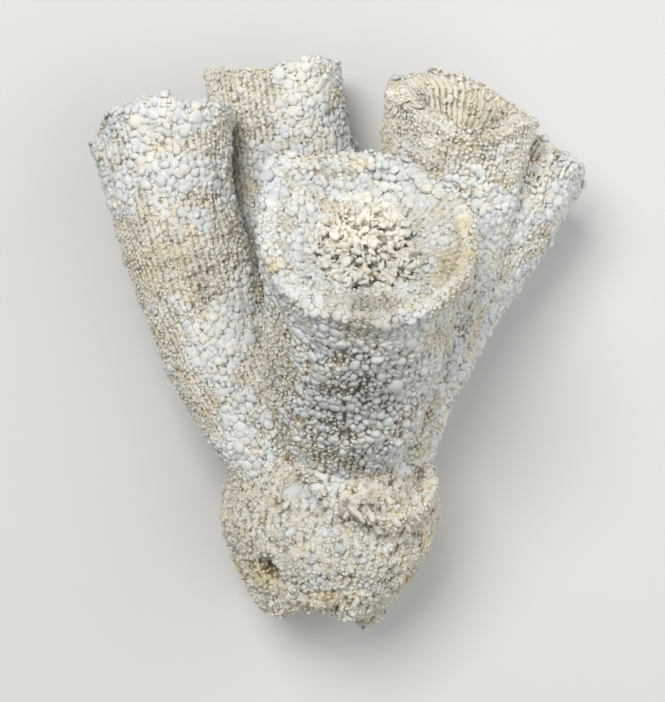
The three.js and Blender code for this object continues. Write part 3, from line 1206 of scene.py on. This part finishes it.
def set_down(name, form, lumps, tall, crust, dice):
    """Lays each lump on the highest wall under its place."""
    copies = []
    for x, y, long, wide, turn in lumps:
        spot, normal = landing(x, y)
        along = Vector((math.cos(turn), math.sin(turn), 0))
        along = (along - normal * along.dot(normal)).normalized()
        across = normal.cross(along)
        sides = np.array([along * long, across * wide, normal * tall * dice.uniform(0.8, 1.2)])
        copies.append(np.array(spot - normal * tall * 0.25 * MM) + form[0] @ sides * MM)
    piece = joined_copies(name, form, np.array(copies))
    count, size = len(lumps), len(form[0])
    # Painted shade: each lump is darker towards its underside.
    keep(piece, "hollow", np.tile(np.clip(0.62 - 0.6 * form[0][:, 2], 0, 1), count))
    keep(piece, "crust", np.full(count * size, crust))
    keep(piece, "tint", np.repeat(dice.random(count), size))
    write_stain_and_shade(piece, stain_and_shade_colour("stem", points_of(piece)))
    lump(piece, "uneven", 1.8, 1.3, depth=1)
    lump(piece, "rough", 0.7, 0.9, depth=1)
    bpy.ops.object.shade_smooth()
    print(piece.name, count, "lumps")
    pieces[name] = piece


COBBLE = round_form("cobble", 3)
dice = np.random.default_rng(11)
set_down("stem_cobbles", COBBLE, STEM_COBBLES, 1.0, 0.95, dice)
set_down("stem_ridges", COBBLE, STEM_RIDGES, 1.1, 0.1, dice)

# %% [markdown]
# ## One finish for wall and crust
#
# The bare wall is tan limestone, the crust a paler, slightly bluish mineral. Two materials would meet at
# a hard edge, so one material mixes both by the crust attribute, lays the stains and painted shadows over
# them and paints shade into the hollows. A fine bump gives the grain that is too small to model.


# %% Small helpers for nodes
def wire(tree, socket, value):
    """Gives a socket a number or a colour, or links it to another node's output."""
    if isinstance(value, (int, float)):
        socket.default_value = value
    elif isinstance(value, tuple):
        socket.default_value = (*value, 1)
    else:
        tree.links.new(value, socket)


def ramp(tree, source, stops):
    """A colour ramp with the given stops, driven by the source."""
    node = tree.nodes.new("ShaderNodeValToRGB")
    elements = node.color_ramp.elements
    while len(elements) < len(stops):
        elements.new(0.5)
    for element, (position, colour) in zip(elements, stops):
        element.position = position
        element.color = (*colour, 1)
    tree.links.new(source, node.inputs["Fac"])
    return node.outputs["Color"]


def mixed(tree, share, first, second, how="MIX"):
    """Two colours mixed by a share."""
    node = tree.nodes.new("ShaderNodeMix")
    node.data_type = "RGBA"
    node.blend_type = how
    sockets = {s.identifier: s for s in node.inputs}
    for side, value in (("Factor_Float", share), ("A_Color", first), ("B_Color", second)):
        wire(tree, sockets[side], value)
    return {s.identifier: s for s in node.outputs}["Result_Color"]


def calculated(tree, first, sign, second, clamp=False):
    """One sum on two values, with the sign + or - or *."""
    node = tree.nodes.new("ShaderNodeMath")
    node.operation = {"+": "ADD", "-": "SUBTRACT", "*": "MULTIPLY"}[sign]
    node.use_clamp = clamp
    for socket, value in zip(node.inputs, (first, second)):
        wire(tree, socket, value)
    return node.outputs[0]


# %% What the nodes read
def speckle(tree, size, detail, roughness=0.6):
    """Cloudy noise on the piece's own coordinates, with blotches of the given size in millimetres."""
    where = tree.nodes.new("ShaderNodeTexCoord")
    noise = tree.nodes.new("ShaderNodeTexNoise")
    noise.inputs["Scale"].default_value = 1 / (size * MM)
    noise.inputs["Detail"].default_value = detail
    noise.inputs["Roughness"].default_value = roughness
    tree.links.new(where.outputs["Object"], noise.inputs["Vector"])
    return noise.outputs["Fac"]


def kept(tree, name):
    """The outputs of a node that reads an attribute kept on the mesh."""
    node = tree.nodes.new("ShaderNodeAttribute")
    node.attribute_name = name
    return node.outputs


# %% The stone's colours
TAN = [
    (0.2, (0.46, 0.42, 0.345)), (0.42, (0.6, 0.57, 0.49)),
    (0.6, (0.69, 0.67, 0.6)), (0.8, (0.78, 0.765, 0.71)),
]
WHITE = [
    (0.2, (0.52, 0.55, 0.565)), (0.4, (0.62, 0.635, 0.63)),
    (0.6, (0.7, 0.705, 0.685)), (0.85, (0.79, 0.79, 0.76)),
]
WARM_AND_COOL = [(0.38, (0.97, 0.98, 1.0)), (0.5, (1, 1, 1)), (0.64, (1.0, 0.94, 0.83))]
HOLLOW_SHADE = [
    (0.0, (1, 1, 1)), (0.48, (0.96, 0.95, 0.93)),
    (0.68, (0.62, 0.58, 0.52)), (1.0, (0.26, 0.23, 0.19)),
]
ROUGHNESS = [(0.3, (0.62,) * 3), (0.7, (0.9,) * 3)]
print("stone colours", len(TAN) + len(WHITE))


# %% The material
def wall_and_crust(tree, fine):
    """Tan limestone and white mineral, mixed by how thick the crust is, with a ragged edge between."""
    broad = calculated(tree, speckle(tree, 7, 3), "*", 0.7)
    dust = calculated(tree, broad, "+", calculated(tree, fine, "*", 0.3))
    tint = calculated(tree, kept(tree, "tint")["Fac"], "*", 0.3)
    tan = ramp(tree, calculated(tree, tint, "+", calculated(tree, dust, "-", 0.15)), TAN)
    white = ramp(tree, calculated(tree, tint, "+", calculated(tree, dust, "-", 0.14)), WHITE)
    edge = calculated(tree, calculated(tree, fine, "-", 0.5), "*", 0.5)
    ragged = calculated(tree, kept(tree, "crust")["Fac"], "+", edge)
    share = calculated(tree, calculated(tree, ragged, "-", 0.32), "*", 3.2, clamp=True)
    return mixed(tree, share, tan, white)


def stone(name, grain_bump):
    """Limestone wall and mineral crust in one material, stained, with painted shadows, and with painted
    shade in its hollows.
    """
    material = bpy.data.materials.new(name)
    material.use_nodes = True
    tree = material.node_tree
    shader = tree.nodes["Principled BSDF"]
    fine = speckle(tree, 0.9, 4, 0.7)
    surface = wall_and_crust(tree, fine)
    surface = mixed(tree, 0.8, surface, ramp(tree, speckle(tree, 4.5, 2), WARM_AND_COOL), "MULTIPLY")
    # Stains and painted shadows are laid over the stone, then painted shade darkens the hollows.
    stain_and_shade = kept(tree, "stain_and_shade")
    surface = mixed(tree, stain_and_shade["Alpha"], surface, stain_and_shade["Color"])
    surface = mixed(tree, 1.0, surface, ramp(tree, kept(tree, "hollow")["Fac"], HOLLOW_SHADE), "MULTIPLY")
    tree.links.new(surface, shader.inputs["Base Color"])
    tree.links.new(ramp(tree, fine, ROUGHNESS), shader.inputs["Roughness"])
    bump = tree.nodes.new("ShaderNodeBump")
    bump.inputs["Strength"].default_value = 0.5
    bump.inputs["Distance"].default_value = grain_bump * MM
    tree.links.new(speckle(tree, 0.35, 5, 0.75), bump.inputs["Height"])
    tree.links.new(bump.outputs["Normal"], shader.inputs["Normal"])
    print(name, len(tree.nodes), "nodes")
    return material


wall_stone = stone("wall_stone", 0.35)
knob_stone = stone("knob_stone", 0.4)

# %% [markdown]
# ## Handing the pieces over
#
# The head is one stone, so every piece rides on the one body. Each wall but the old rim stands for a
# solid, which is then hidden.


# %% Rides, replacements and finishes
for name, wall in walls.items():
    wall.data.materials.append(wall_stone)
    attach(wall, "root")
    if name != "stem_collar":
        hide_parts(name)
for name, piece in pieces.items():
    piece.data.materials.append(knob_stone)
    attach(piece, "root")
